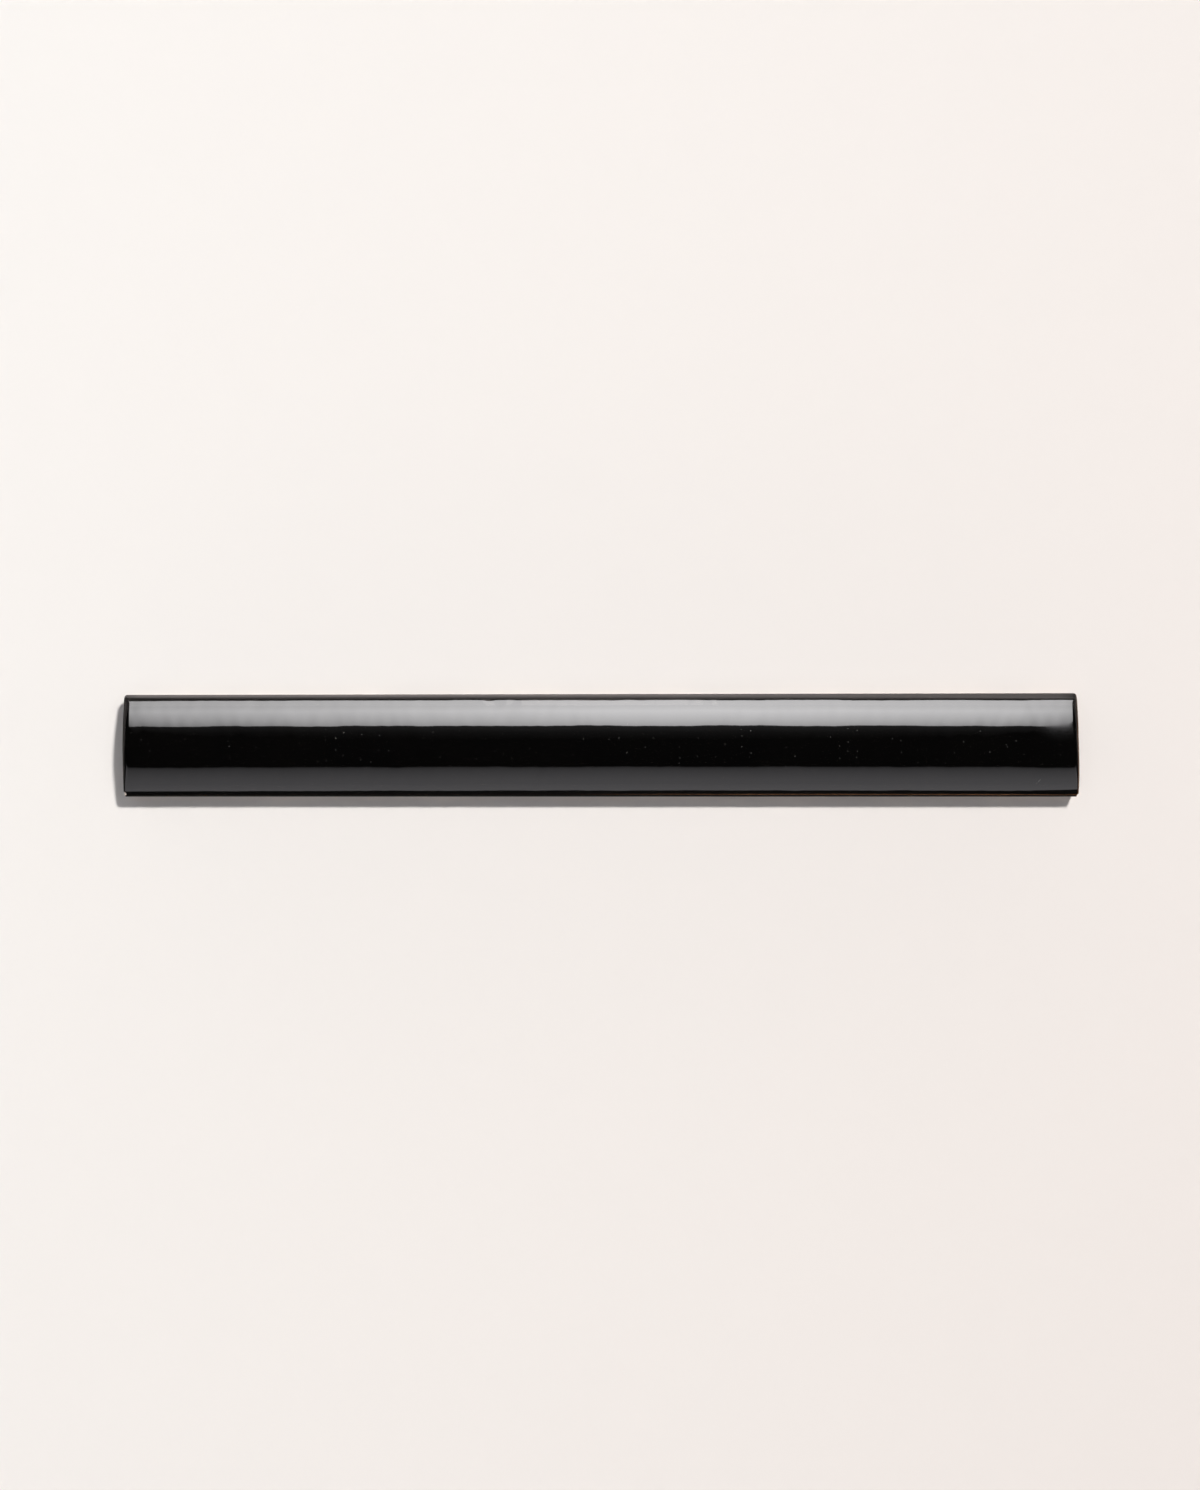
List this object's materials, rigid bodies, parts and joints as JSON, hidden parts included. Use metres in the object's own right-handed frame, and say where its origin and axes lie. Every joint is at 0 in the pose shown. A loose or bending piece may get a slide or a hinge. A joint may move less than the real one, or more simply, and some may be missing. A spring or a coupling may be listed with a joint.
{
  "type": "bead moulding tile",
  "caption": "Narrow glazed ceramic bead moulding with a rounded crown, fine bevelled long edges, rolled ends and a flat back, bedded as a border between wall tiles.",
  "frame": {"origin": "middle of the flat back, on the surface that the tile lies on", "axes": "+X along the strip, +Y across it, +Z out of the back through the crown"},
  "size_m": [0.152, 0.0164, 0.0115],
  "materials": {
    "black_glaze": "deep black gloss glaze that breaks to brown on the arrises"
  },
  "bodies": {
    "root": {"bead_moulding_tile": "black_glaze"}
  },
  "joints": []
}
